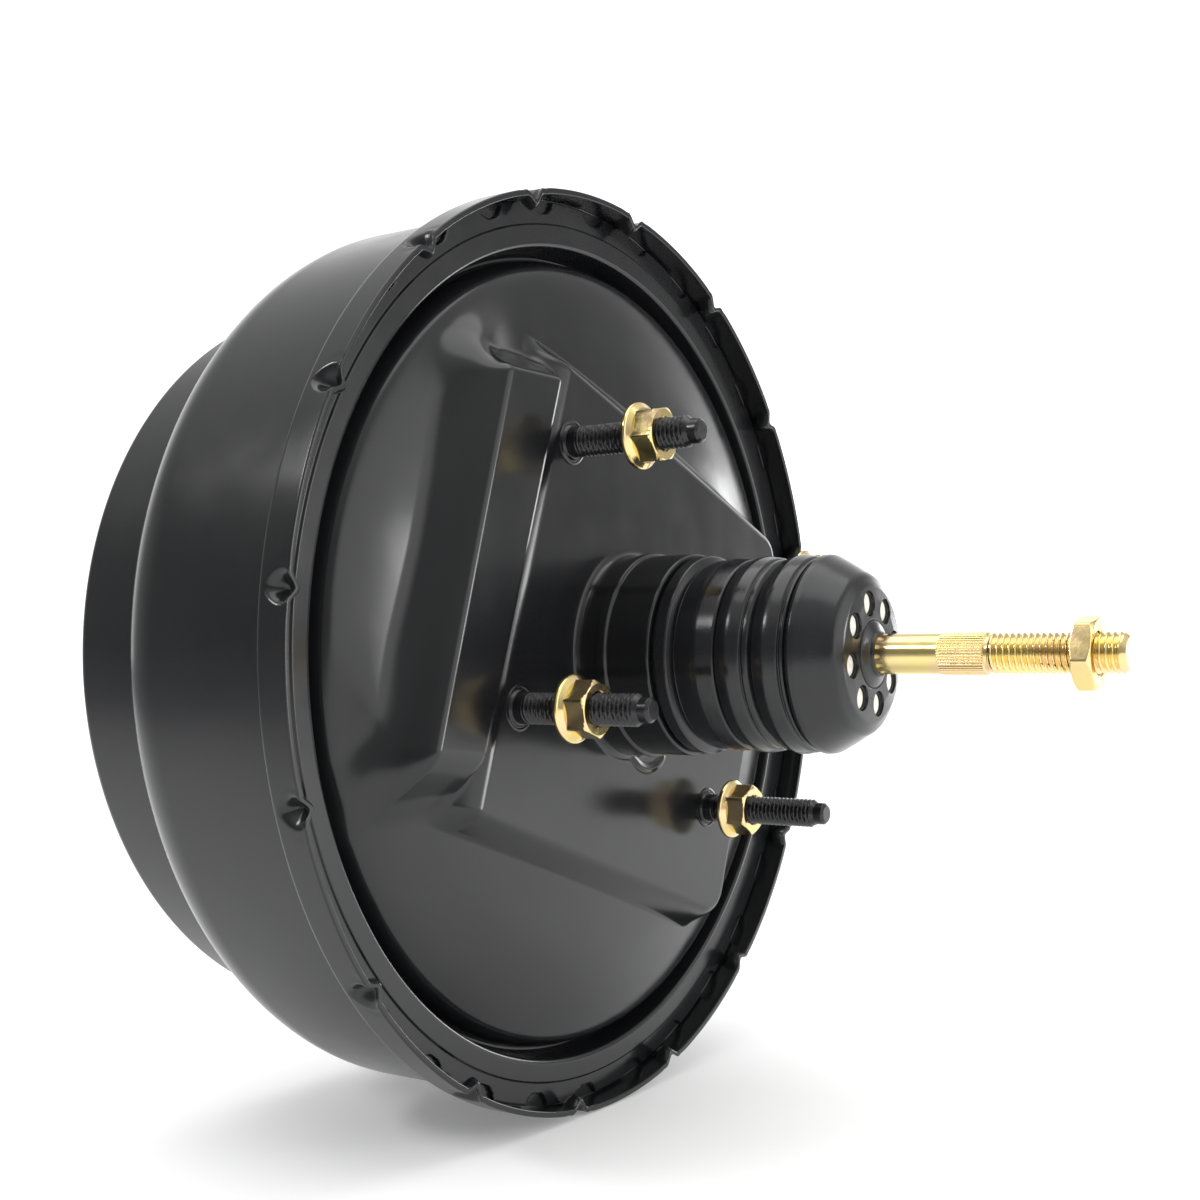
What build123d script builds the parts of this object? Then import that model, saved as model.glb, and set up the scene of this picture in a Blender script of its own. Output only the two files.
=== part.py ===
from build123d import *
import os
from math import cos, sin, radians, sqrt, pi

# Brake booster (vacuum servo), tandem chamber type.
# Millimetres. +X runs along the booster's axis towards the pedal and +Z is up.
# Every X below is measured from the rear edge of the crimped rim. Each piece is
# then moved by -PAD_X, so the bulkhead seat's plane ends up at X = 0.

# ---------------------------------------------------------------- dimensions
RIM_R = 125.0            # outside of the crimped rim
RIM_FRONT = -9.3         # front face of the rim's flange
SHEET = 1.6              # shell sheet
WALL_R = 120.8           # outside of the wide drum
DRUM_R = 104.2           # outside of the narrow front drum
FRONT_FACE = -93.5       # front face of the shell
MC_FACE = -101.0         # master cylinder face
MC_FACE_R = 52.0
SPIGOT_R = 17.0          # spigot bore for the master cylinder
SPIGOT_END = -90.0
DENTS = 16               # staked dents round the rim
DENT_0 = 106.2           # angle of the first dent, from +Y towards +Z
DENT_W = 8.3
DENT_D = 3.9
DENT_L = 5.4

PAD_X = 7.0              # bulkhead seat plane
PAD_TURN = -18.5         # turn of the seat's rectangle about X
PAD_LOW, PAD_HIGH = -58.1, 61.5
PAD_RIGHT = 72.0
PAD_LEFT = -57.0
RIB_X = 11.0
RIB_L, RIB_R = -77.0, -56.5
NECK_R = 26.8
NECK_END = 29.1
NECK_BORE = 25.2

STUDS = [(-44.25, 43.0), (-44.25, -29.0), (54.25, -29.0), (54.25, 43.0)]
STUD_R = 4.0             # M8
STUD_PITCH_R = 3.6       # thread's pitch radius, used where a nut holds it
SHOULDER_R = 4.4         # pressed-in shoulder under each stud's head
RING_R = 5.6             # swaged ring outside the seat
STUD_END = 46.0
NUT_X = [28.0, 23.6, 15.7, 28.0]     # flange mid-plane of each nut
NUT_AF = 13.0
NUT_FLANGE_R = 8.5
MC_STUD_Y = 40.0
MC_STUD_END = -128.0

HUB_R = 17.9             # centre seal runs here
TUBE_R = 18.5            # body seal runs here
TUBE_END = 62.0
ROD_R = 5.06
BALL_X = 1.0
THREAD_R = 5.0           # M10
ROD_PITCH_R = 4.5        # thread's pitch radius, used where the lock nut holds it
KNURL_0, KNURL_1 = 97.0, 108.5
ROD_END = 141.8
LOCK_0, LOCK_1 = 129.9, 134.9
LOCK_AF = 16.0

os.makedirs("parts", exist_ok=True)


def uv(u, v):
    """Seat coordinates to (Y, Z)."""
    c, s = cos(radians(PAD_TURN)), sin(radians(PAD_TURN))
    return (u * c - v * s, u * s + v * c)


# plane through the axis-normal at X, local x along +Y and local y along +Z
def across(x):
    return Plane(origin=(x, 0, 0), x_dir=(0, 1, 0), z_dir=(1, 0, 0))


def seat(x):
    """Plane at X turned with the bulkhead seat: local x is u, local y is v."""
    c, s = cos(radians(PAD_TURN)), sin(radians(PAD_TURN))
    return Plane(origin=(x, 0, 0), x_dir=(0, c, s), z_dir=(1, 0, 0))


# ---------------------------------------------------------------- front shell
with BuildPart() as front_shell:
    with BuildSketch(Plane.XZ):
        with BuildLine():
            # outside, from the rim's rear edge to the master cylinder face
            l1 = Line((0, RIM_R), (-7.5, RIM_R))
            l2 = RadiusArc(l1 @ 1, (RIM_FRONT, RIM_R - 1.8), -1.8)
            l3 = Line(l2 @ 1, (RIM_FRONT, WALL_R + 1.0))
            l4 = RadiusArc(l3 @ 1, (RIM_FRONT - 1.0, WALL_R), 1.0)
            l5 = Line(l4 @ 1, (-42.0, WALL_R))
            l6 = ThreePointArc(l5 @ 1, (-54.93, 117.64), (-64.94, 108.86))
            l7 = Line(l6 @ 1, (-65.85, 107.61))
            l7b = ThreePointArc(l7 @ 1, (-68.71, 105.10), (-72.4, DRUM_R))
            l8 = Line(l7b @ 1, (-90.5, DRUM_R))
            l9 = RadiusArc(l8 @ 1, (FRONT_FACE, DRUM_R - 3.0), -3.0)
            l10 = Line(l9 @ 1, (FRONT_FACE, 60.0))
            l11 = Line(l10 @ 1, (MC_FACE + 1.0, MC_FACE_R + 2.0))
            l12 = Line(l11 @ 1, (MC_FACE, MC_FACE_R))
            l13 = Line(l12 @ 1, (MC_FACE, SPIGOT_R))
            l14 = Line(l13 @ 1, (SPIGOT_END, SPIGOT_R))
            l15 = Line(l14 @ 1, (SPIGOT_END, 12.0))
            l16 = Line(l15 @ 1, (-86.4, 12.0))
            l17 = Line(l16 @ 1, (-86.4, 7.0))
            # inside, back to the rim
            m1 = Line(l17 @ 1, (-84.8, 7.0))
            m2 = Line(m1 @ 1, (-84.8, 13.6))
            m3 = Line(m2 @ 1, (-88.4, 13.6))
            m4 = Line(m3 @ 1, (-88.4, 18.6))
            m5 = Line(m4 @ 1, (-99.4, 18.6))
            m6 = Line(m5 @ 1, (-99.4, MC_FACE_R - 0.6))
            m7 = Line(m6 @ 1, (FRONT_FACE + 1.6, 59.4))
            m8 = Line(m7 @ 1, (FRONT_FACE + 1.6, DRUM_R - 3.0))
            m9 = RadiusArc(m8 @ 1, (-90.5, DRUM_R - 1.6), 1.4)
            m10 = Line(m9 @ 1, (-72.4, DRUM_R - 1.6))
            m10b = ThreePointArc(m10 @ 1, (-67.97, 103.68), (-64.54, 106.69))
            m11 = Line(m10b @ 1, (-63.63, 107.94))
            m12 = ThreePointArc(m11 @ 1, (-54.19, 116.22), (-42.0, WALL_R - 1.6))
            m13 = Line(m12 @ 1, (-7.7, WALL_R - 1.6))
            m14 = Line(m13 @ 1, (-7.7, RIM_R - 1.6))
            m15 = Line(m14 @ 1, (0, RIM_R - 1.6))
            m16 = Line(m15 @ 1, l1 @ 0)
        make_face()
    revolve(axis=Axis.X)
    # each dent: the rim's wall is pushed in as a V over the rear shell's flange
    for k in range(DENTS):
        a = DENT_0 - 360.0 / DENTS * k
        turned = Plane(origin=(-DENT_L, 0, 0), x_dir=(0, -sin(radians(a)), cos(radians(a))), z_dir=(1, 0, 0))
        # local y of this plane is -radial, so radial distances are negative
        with BuildSketch(turned):
            with BuildLine():
                Polyline((-DENT_W / 2, -RIM_R - 1), (DENT_W / 2, -RIM_R - 1), (DENT_W / 2, -RIM_R + 1.62 + 0.1), (-DENT_W / 2, -RIM_R + 1.62 + 0.1), close=True)
            make_face()
        extrude(amount=DENT_L + 1, mode=Mode.SUBTRACT)
        with BuildSketch(turned):
            with BuildLine():
                e = sqrt(RIM_R ** 2 - (DENT_W / 2) ** 2)
                f = e - 1.7
                w = DENT_W / 2 + 0.3
                Polyline((-w, -e + 0.1), (0, -e + DENT_D), (w, -e + 0.1), (w, -f - 0.1), (1.2, -f + DENT_D), (-1.2, -f + DENT_D), (-w, -f - 0.1), close=True)
            make_face()
        extrude(amount=DENT_L - 0.2)
    # holes for the master cylinder studs and the vacuum check valve
    for y in (MC_STUD_Y, -MC_STUD_Y):
        with BuildSketch(across(MC_FACE - 1)):
            with Locations((y, 0)):
                Circle(SHOULDER_R + 0.05)
        extrude(amount=4, mode=Mode.SUBTRACT)
    with BuildSketch(across(FRONT_FACE - 1)):
        with Locations((0, 78.0)):
            Circle(9.0)
    extrude(amount=4, mode=Mode.SUBTRACT)
front_shell.part.label = "front_shell"

# ---------------------------------------------------------------- rear shell
dome = [(-12.6, 107.6), (-10.6, 106.3), (-8.0, 103.8), (-5.4, 99.8), (-3.5, 95.0), (-1.6, 88.0), (0.0, 80.0), (1.4, 70.0), (2.5, 60.0), (3.0, 48.0), (3.2, 38.0), (3.2, NECK_R - 1.0)]
dome_in = [(x - 1.55, r - 0.55) if r > 99 else (x - 1.6, r - 0.2) for x, r in dome[:-1]] + [(1.6, NECK_R - 1.0)]
with BuildPart() as rear_shell:
    with BuildSketch(Plane.XZ):
        with BuildLine():
            a0 = Line((-7.7, 122.6), (-6.6, 122.6))
            a1 = Line(a0 @ 1, (-6.6, 116.9))
            a2 = Line(a1 @ 1, (-6.1, 116.6))
            a3 = Line(a2 @ 1, (-6.1, 111.9))
            a4 = RadiusArc(a3 @ 1, (-7.1, 110.9), -1.0)
            a5 = Line(a4 @ 1, (-13.7, 109.6))
            a6 = RadiusArc(a5 @ 1, (-14.0, 108.2), 1.0)
            a7 = Line(a6 @ 1, dome[0])
            a8 = Spline(*dome)
            a9 = Line(a8 @ 1, dome_in[-1])
            a10 = Spline(*dome_in[::-1])
            a11 = Line(a10 @ 1, (-15.4, 107.6))
            a12 = Line(a11 @ 1, (-15.6, 111.0))
            a13 = Line(a12 @ 1, (-7.7, 112.5))
            a14 = Line(a13 @ 1, a0 @ 0)
        make_face()
    revolve(axis=Axis.X)
    # bulkhead seat: a flat rectangle pressed out of the dome with sloped walls
    with BuildSketch(seat(-2.0)):
        with BuildLine():
            Polyline((PAD_LEFT - 6, PAD_LOW - 8), (PAD_RIGHT - 6, PAD_LOW - 8), (PAD_RIGHT + 6, PAD_LOW + 4), (PAD_RIGHT + 6, PAD_HIGH - 8), (PAD_RIGHT - 8, PAD_HIGH + 8), (PAD_LEFT - 6, PAD_HIGH + 8), close=True)
        make_face()
    with BuildSketch(seat(PAD_X)) as top:
        with BuildLine():
            Polyline((PAD_LEFT, PAD_LOW), (PAD_RIGHT - 7, PAD_LOW), (PAD_RIGHT, PAD_LOW + 8), (PAD_RIGHT, PAD_HIGH - 8), (PAD_RIGHT - 8, PAD_HIGH), (PAD_LEFT, PAD_HIGH), close=True)
        make_face()
    loft()
    # raised rib along the seat's left edge
    with BuildSketch(seat(-2.0)):
        with Locations(((RIB_L + RIB_R) / 2 - 1.5, 0)):
            Rectangle(RIB_R - RIB_L + 13, 126)
    with BuildSketch(seat(RIB_X)):
        with Locations(((RIB_L + RIB_R) / 2, 0)):
            Rectangle(RIB_R - RIB_L, 100)
    loft()
    # hollow undersides of both pressings
    with BuildSketch(seat(-9.0)):
        with BuildLine():
            Polyline((PAD_LEFT - 5, PAD_LOW - 9), (PAD_RIGHT - 7, PAD_LOW - 9), (PAD_RIGHT + 5, PAD_LOW + 3), (PAD_RIGHT + 5, PAD_HIGH - 7), (PAD_RIGHT - 9, PAD_HIGH + 7), (PAD_LEFT - 5, PAD_HIGH + 7), close=True)
        make_face()
    with BuildSketch(seat(PAD_X - 1.8)):
        with BuildLine():
            Polyline((PAD_LEFT + 1.6, PAD_LOW + 1.6), (PAD_RIGHT - 8, PAD_LOW + 1.6), (PAD_RIGHT - 1.6, PAD_LOW + 9), (PAD_RIGHT - 1.6, PAD_HIGH - 9), (PAD_RIGHT - 9, PAD_HIGH - 1.6), (PAD_LEFT + 1.6, PAD_HIGH - 1.6), close=True)
        make_face()
    loft(mode=Mode.SUBTRACT)
    with BuildSketch(seat(-9.0)):
        with Locations(((RIB_L + RIB_R) / 2 - 2.0, 0)):
            Rectangle(RIB_R - RIB_L + 10, 126)
    with BuildSketch(seat(RIB_X - 1.7)):
        with Locations(((RIB_L + RIB_R) / 2, 0)):
            Rectangle(RIB_R - RIB_L - 3.4, 96.6)
    loft(mode=Mode.SUBTRACT)
    # neck for the guide bush, body seal and boot, with a bead near its root
    with BuildSketch(Plane.XZ):
        with BuildLine():
            Polyline((PAD_X - 1.8, NECK_BORE), (NECK_END, NECK_BORE), (NECK_END, NECK_R - 0.3), (NECK_END - 0.3, NECK_R), (16.4, NECK_R), (15.9, NECK_R + 0.5), (11.6, NECK_R + 0.5), (11.1, NECK_R), (8.6, NECK_R), (7.0, NECK_R + 1.6), (PAD_X - 1.8, NECK_R + 1.6), close=True)
        make_face()
    revolve(axis=Axis.X)
    with BuildSketch(across(-12.0)):
        Circle(NECK_BORE)
    extrude(amount=45, mode=Mode.SUBTRACT)
    # drainage pip under the neck
    with BuildSketch(seat(PAD_X)):
        with Locations(Location((-3.0, -32.0, 0), (0, 0, 8))):
            Ellipse(7.5, 2.6)
    extrude(amount=0.8)
    # stud holes
    with BuildSketch(seat(-9.0)):
        with Locations(*STUDS):
            Circle(SHOULDER_R + 0.05)
    extrude(amount=24, mode=Mode.SUBTRACT)
    # shallow recess round each hole, filled by the stud's swaged ring
    with BuildSketch(seat(PAD_X - 0.4)):
        with Locations(*STUDS):
            Circle(RING_R + 0.05)
    extrude(amount=2, mode=Mode.SUBTRACT)
rear_shell.part.label = "rear_shell"

# ---------------------------------------------------------------- reinforcements
with BuildPart() as front_reinforcement:
    with BuildSketch(across(-99.4)):
        Circle(49.5)
        Circle(19.4, mode=Mode.SUBTRACT)
        with Locations((MC_STUD_Y, 0), (-MC_STUD_Y, 0)):
            Circle(SHOULDER_R + 0.05, mode=Mode.SUBTRACT)
    extrude(amount=2.5)
    fillet(front_reinforcement.edges().filter_by(GeomType.CIRCLE).filter_by(lambda e: abs(e.radius - 49.5) < 0.01), 0.8)
front_reinforcement.part.label = "front_reinforcement"

with BuildPart() as rear_reinforcement:
    with BuildSketch(seat(PAD_X - 1.8 - 3.0)):
        with Locations((5.0, 7.0)):
            RectangleRounded(118, 92, 8)
        Circle(29.0, mode=Mode.SUBTRACT)
        with Locations(*STUDS):
            Circle(SHOULDER_R + 0.05, mode=Mode.SUBTRACT)
    extrude(amount=3.0)
rear_reinforcement.part.label = "rear_reinforcement"

# ---------------------------------------------------------------- studs and nuts
def stud_profile(x0, x1, head, tip, held=None):
    """Headed stud along X from its head at x0 to its tip at x1, as profile points.
    held is the stretch of thread inside a nut, drawn at the pitch radius."""
    s = 1 if x1 > x0 else -1
    grip = [(held[0], STUD_R), (held[0], STUD_PITCH_R), (held[1], STUD_PITCH_R), (held[1], STUD_R)] if held else []
    return [(x0, 0), (x0, head), (x0 + s * 2.4, head), (x0 + s * 2.4, SHOULDER_R), (x0 + s * 6.9, SHOULDER_R), (x0 + s * 6.9, STUD_R)] + grip + [(x1 - s * (tip + 1.0), STUD_R), (x1 - s * tip, 3.05), (x1 - s * 0.8, 3.05), (x1, 2.2), (x1, 0)]


with BuildPart() as bulkhead_studs:
    for (u, v), x in zip(STUDS, NUT_X):
        y, z = uv(u, v)
        axis = Axis((0, y, z), (1, 0, 0))
        with BuildSketch(Plane(origin=(0, y, z), x_dir=(1, 0, 0), z_dir=(0, -1, 0))):
            with BuildLine():
                Polyline(*stud_profile(PAD_X - 4.8 - 2.4, STUD_END, 8.0, 3.0, held=(x - 0.9, x + 7.6)), close=True)
            make_face()
        revolve(axis=axis)
        # swaged ring that holds the stud on the outside of the seat
        with BuildSketch(Plane(origin=(0, y, z), x_dir=(1, 0, 0), z_dir=(0, -1, 0))):
            with BuildLine():
                Polyline((PAD_X - 0.4, STUD_R - 1), (PAD_X - 0.4, RING_R), (PAD_X + 0.4, RING_R), (PAD_X + 1.0, RING_R - 0.5), (PAD_X + 1.3, STUD_R), (PAD_X + 1.3, STUD_R - 1), close=True)
            make_face()
        revolve(axis=axis)
bulkhead_studs.part.label = "bulkhead_studs"

with BuildPart() as one_nut:
    # conical flange towards the seat, hexagon behind it
    with BuildSketch(Plane.XZ):
        with BuildLine():
            Polyline((-0.9, STUD_PITCH_R + 0.05), (-0.9, NUT_FLANGE_R - 0.3), (-0.5, NUT_FLANGE_R), (0.3, NUT_FLANGE_R), (0.7, NUT_FLANGE_R - 0.4), (2.2, 6.4), (2.2, STUD_PITCH_R + 0.05), close=True)
        make_face()
    revolve(axis=Axis.X)
    with BuildSketch(across(0.5)):
        RegularPolygon(NUT_AF / 2, 6, major_radius=False)
        Circle(STUD_PITCH_R + 0.05, mode=Mode.SUBTRACT)
    extrude(amount=6.6)
    with BuildSketch(Plane.XZ):
        with BuildLine():
            Polyline((7.2, 6.3), (7.2, 8.5), (5.8, 8.5), close=True)
        make_face()
    revolve(axis=Axis.X, mode=Mode.SUBTRACT)
nut_shape = one_nut.part
with BuildPart() as bulkhead_nuts:
    for (u, v), x in zip(STUDS, NUT_X):
        y, z = uv(u, v)
        add(Pos(x, y, z) * nut_shape)
bulkhead_nuts.part.label = "bulkhead_nuts"

with BuildPart() as master_cylinder_studs:
    for y in (MC_STUD_Y, -MC_STUD_Y):
        with BuildSketch(Plane(origin=(0, y, 0), x_dir=(1, 0, 0), z_dir=(0, -1, 0))):
            with BuildLine():
                Polyline(*stud_profile(-94.5, MC_STUD_END, 7.5, 2.0), close=True)
            make_face()
        revolve(axis=Axis((0, y, 0), (1, 0, 0)))
master_cylinder_studs.part.label = "master_cylinder_studs"

# ---------------------------------------------------------------- vacuum connection
with BuildPart() as grommet:
    with BuildSketch(Plane(origin=(0, 0, 78), x_dir=(1, 0, 0), z_dir=(0, -1, 0))):
        with BuildLine():
            Polyline((-97.0, 6.45), (-97.0, 12.4), (-96.4, 13.0), (-93.5, 13.0), (-93.5, 9.0), (-91.9, 9.0), (-91.9, 11.5), (-89.4, 10.0), (-88.9, 9.0), (-88.9, 6.45), close=True)
        make_face()
    revolve(axis=Axis((0, 0, 78), (1, 0, 0)))
grommet.part.label = "grommet"

with BuildPart() as check_valve:
    with BuildSketch(Plane(origin=(0, 0, 78), x_dir=(1, 0, 0), z_dir=(0, -1, 0))):
        with BuildLine():
            Polyline((-128.0, 3.6), (-128.0, 5.2), (-127.2, 6.0), (-107.0, 6.0), (-106.0, 7.5), (-105.0, 12.0), (-103.6, 13.0), (-98.4, 13.0), (-97.0, 12.0), (-97.0, 6.4), (-88.0, 6.4), (-88.0, 7.3), (-87.2, 7.3), (-85.6, 6.0), (-85.6, 4.2), (-99.0, 4.2), (-99.0, 9.8), (-104.0, 9.8), (-105.2, 3.6), close=True)
        make_face()
    revolve(axis=Axis((0, 0, 78), (1, 0, 0)))
check_valve.part.label = "check_valve"

# ---------------------------------------------------------------- seals and guide
with BuildPart() as front_seal:
    with BuildSketch(Plane.XZ):
        with BuildLine():
            Polyline((-90.0, 7.4), (-89.2, 6.05), (-87.4, 6.05), (-86.4, 7.4), (-86.4, 12.0), (-90.0, 12.0), close=True)
        make_face()
    revolve(axis=Axis.X)
front_seal.part.label = "front_seal"

with BuildPart() as centre_plate:
    with BuildSketch(Plane.XZ):
        with BuildLine():
            Polyline((-44.8, 21.2), (-44.8, 95.5), (-46.0, 98.6), (-62.8, 98.6), (-62.8, 106.6), (-64.0, 106.6), (-64.0, 97.4), (-46.6, 97.4), (-46.0, 95.0), (-46.0, 21.2), close=True)
        make_face()
    revolve(axis=Axis.X)
centre_plate.part.label = "centre_plate"

with BuildPart() as centre_plate_seal:
    with BuildSketch(Plane.XZ):
        with BuildLine():
            Polyline((-46.5, 19.2), (-46.0, HUB_R + 0.05), (-45.0, HUB_R + 0.05), (-44.4, 19.2), (-44.4, 22.6), (-44.8, 22.6), (-44.8, 21.2), (-46.0, 21.2), (-46.0, 22.6), (-46.5, 22.6), close=True)
        make_face()
    revolve(axis=Axis.X)
centre_plate_seal.part.label = "centre_plate_seal"

with BuildPart() as body_seal:
    with BuildSketch(Plane.XZ):
        with BuildLine():
            Polyline((8.0, 20.4), (9.2, TUBE_R + 0.05), (10.6, TUBE_R + 0.05), (12.0, 20.2), (14.4, 20.2), (14.4, NECK_BORE), (8.0, NECK_BORE), close=True)
        make_face()
    revolve(axis=Axis.X)
body_seal.part.label = "body_seal"

with BuildPart() as guide_bush:
    with BuildSketch(Plane.XZ):
        with BuildLine():
            Polyline((14.4, TUBE_R + 0.05), (20.0, TUBE_R + 0.05), (20.0, NECK_BORE), (14.4, NECK_BORE), close=True)
        make_face()
    revolve(axis=Axis.X)
guide_bush.part.label = "guide_bush"

with BuildPart() as seal_retainer:
    with BuildSketch(Plane.XZ):
        with BuildLine():
            Polyline((20.0, 19.4), (21.0, 19.4), (21.0, 24.2), (22.4, 24.2), (22.4, NECK_BORE), (20.0, NECK_BORE), close=True)
        make_face()
    revolve(axis=Axis.X)
seal_retainer.part.label = "seal_retainer"

# ---------------------------------------------------------------- diaphragms
with BuildPart() as rear_diaphragm:
    with BuildSketch(Plane.XZ):
        with BuildLine():
            r1 = Line((-11.4, 26.1), (-11.4, 28.8))
            r2 = Line(r1 @ 1, (-12.6, 30.0))
            r3 = Line(r2 @ 1, (-12.6, 96.0))
            r4 = ThreePointArc(r3 @ 1, (-13.6, 98.4), (-15.6, 99.4))
            r5 = Line(r4 @ 1, (-20.6, 99.8))
            r6 = ThreePointArc(r5 @ 1, (-27.2, 107.4), (-20.6, 115.0))
            r7 = Line(r6 @ 1, (-13.6, 114.2))
            r8 = Line(r7 @ 1, (-12.4, 112.9))
            r9 = Line(r8 @ 1, (-8.4, 113.0))
            r10 = Line(r9 @ 1, (-8.4, 118.7))
            r11 = Line(r10 @ 1, (-13.4, 118.7))
            r12 = Line(r11 @ 1, (-20.6, 116.4))
            r13 = ThreePointArc(r12 @ 1, (-28.6, 107.4), (-20.6, 98.4))
            r14 = Line(r13 @ 1, (-16.4, 98.0))
            r15 = ThreePointArc(r14 @ 1, (-14.6, 97.3), (-14.0, 95.6))
            r16 = Line(r15 @ 1, (-14.0, 26.1))
            r17 = Line(r16 @ 1, r1 @ 0)
        make_face()
    revolve(axis=Axis.X)
rear_diaphragm.part.label = "rear_diaphragm"

with BuildPart() as front_diaphragm:
    with BuildSketch(Plane.XZ):
        with BuildLine():
            f1 = Line((-47.4, 18.1), (-47.4, 88.0))
            f2 = ThreePointArc(f1 @ 1, (-48.2, 89.9), (-49.8, 90.6))
            f3 = Line(f2 @ 1, (-60.4, 90.8))
            f4 = ThreePointArc(f3 @ 1, (-62.4, 93.4), (-60.4, 96.0))
            f5 = Line(f4 @ 1, (-58.4, 96.4))
            f6 = Line(f5 @ 1, (-58.4, 97.2))
            f7 = Line(f6 @ 1, (-64.0, 97.2))
            f8 = Line(f7 @ 1, (-64.0, 103.6))
            f9 = Line(f8 @ 1, (-68.6, 103.0))
            f10 = Line(f9 @ 1, (-68.6, 98.6))
            f11 = Line(f10 @ 1, (-66.4, 96.6))
            f12 = ThreePointArc(f11 @ 1, (-64.4, 91.6), (-60.4, 89.4))
            f13 = Line(f12 @ 1, (-50.4, 89.2))
            f14 = ThreePointArc(f13 @ 1, (-49.2, 88.7), (-48.8, 87.6))
            f15 = Line(f14 @ 1, (-48.8, 18.1))
            f16 = Line(f15 @ 1, f1 @ 0)
        make_face()
    revolve(axis=Axis.X)
front_diaphragm.part.label = "front_diaphragm"

# ---------------------------------------------------------------- piston group
with BuildPart() as valve_body:
    with BuildSketch(Plane.XZ):
        with BuildLine():
            Polyline((-55.5, 13.1), (-55.5, 15.0), (-48.8, 15.0), (-48.8, HUB_R), (-16.0, HUB_R), (-14.0, HUB_R), (-14.0, 26.0), (-11.0, 26.0), (-11.0, TUBE_R), (TUBE_END - 0.8, TUBE_R), (TUBE_END, TUBE_R - 0.8), (TUBE_END, 14.5), (7.4, 14.5), (7.4, 11.6), (8.2, 11.2), (8.2, 9.8), (7.4, 9.4), (6.6, 9.4), (6.6, 8.0), (-40.0, 8.0), (-40.0, 13.1), close=True)
        make_face()
    revolve(axis=Axis.X)
    # slot for the key, right through across the bore
    with BuildSketch(across(-10.5)):
        Rectangle(22.4, 60)
    extrude(amount=2.4, mode=Mode.SUBTRACT)
    # air passages from the rear bore to the working chambers
    with BuildSketch(across(-30.0)):
        with Locations((12.6, 0), (-12.6, 0)):
            RectangleRounded(3.2, 12, 1.2)
    extrude(amount=30.0, mode=Mode.SUBTRACT)
    with BuildSketch(across(-1.0)):
        with Locations((11.6, 0), (-11.6, 0)):
            RectangleRounded(3.2, 9, 1.2)
    extrude(amount=10.0, mode=Mode.SUBTRACT)
valve_body.part.label = "valve_body"

with BuildPart() as rear_diaphragm_plate:
    with BuildSketch(Plane.XZ):
        with BuildLine():
            Polyline((-14.0, HUB_R + 0.05), (-14.0, 95.6), (-14.9, 96.6), (-16.2, 96.6), (-16.2, 95.4), (-15.6, 94.8), (-15.6, HUB_R + 0.05), close=True)
        make_face()
    revolve(axis=Axis.X)
rear_diaphragm_plate.part.label = "rear_diaphragm_plate"

with BuildPart() as front_diaphragm_plate:
    with BuildSketch(Plane.XZ):
        with BuildLine():
            Polyline((-48.8, 15.05), (-48.8, 87.0), (-50.2, 88.6), (-53.6, 88.9), (-53.6, 87.4), (-50.8, 87.0), (-50.3, 86.2), (-50.3, 15.05), close=True)
        make_face()
    revolve(axis=Axis.X)
front_diaphragm_plate.part.label = "front_diaphragm_plate"

with BuildPart() as plate_ring:
    with BuildSketch(Plane.XZ):
        with BuildLine():
            Polyline((-52.3, 15.05), (-50.3, 15.05), (-50.3, 20.5), (-51.8, 20.5), (-52.3, 20.0), close=True)
        make_face()
    revolve(axis=Axis.X)
plate_ring.part.label = "plate_ring"

with BuildPart() as valve_key:
    with BuildSketch(across(-10.4)):
        Rectangle(22.0, 46.0)
        with Locations((0, -12.0)):
            Rectangle(10.4, 34.0, mode=Mode.SUBTRACT)
        Circle(5.2, mode=Mode.SUBTRACT)
    extrude(amount=2.2)
valve_key.part.label = "valve_key"

with BuildPart() as reaction_disc:
    with BuildSketch(across(-44.0)):
        Circle(12.9)
    extrude(amount=4.0)
    chamfer(reaction_disc.edges(), 0.4)
reaction_disc.part.label = "reaction_disc"

with BuildPart() as output_rod:
    with BuildSketch(Plane.XZ):
        with BuildLine():
            Polyline((-98.0, 0), (-98.0, 5.4), (-97.4, 6.0), (-52.0, 6.0), (-49.0, 9.0), (-48.0, 13.0), (-44.0, 13.0), (-44.0, 0), close=True)
        make_face()
    revolve(axis=Axis.X)
    with BuildSketch(across(-98.0)):
        Circle(2.5)
    extrude(amount=14, mode=Mode.SUBTRACT)
output_rod.part.label = "output_rod"

with BuildPart() as output_rod_screw:
    with BuildSketch(Plane.XZ):
        with BuildLine():
            s1 = Line((-106.0, 0), (-106.0, 1.6))
            s2 = ThreePointArc(s1 @ 1, (-105.0, 3.2), (-103.0, 3.8))
            s3 = Polyline(s2 @ 1, (-102.0, 3.8), (-102.0, 2.45), (-85.0, 2.45), (-85.0, 0))
            s4 = Line(s3 @ 1, s1 @ 0)
        make_face()
    revolve(axis=Axis.X)
    with BuildSketch(across(-102.0)):
        RegularPolygon(5.0, 6, major_radius=False)
    extrude(amount=4.0)
output_rod_screw.part.label = "output_rod_screw"

with BuildPart() as poppet_valve:
    with BuildSketch(Plane.XZ):
        with BuildLine():
            Polyline((9.0, 6.8), (9.0, 13.2), (10.4, 13.6), (11.6, 13.2), (11.6, 11.2), (20.4, 11.2), (20.4, 14.4), (23.0, 14.4), (23.0, 10.0), (11.0, 10.0), (11.0, 6.8), close=True)
        make_face()
    revolve(axis=Axis.X)
poppet_valve.part.label = "poppet_valve"

with BuildPart() as poppet_retainer:
    with BuildSketch(Plane.XZ):
        with BuildLine():
            Polyline((23.0, 10.6), (24.4, 10.6), (24.4, 13.0), (27.0, 13.0), (27.0, 14.5), (23.0, 14.5), close=True)
        make_face()
    revolve(axis=Axis.X)
poppet_retainer.part.label = "poppet_retainer"

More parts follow.
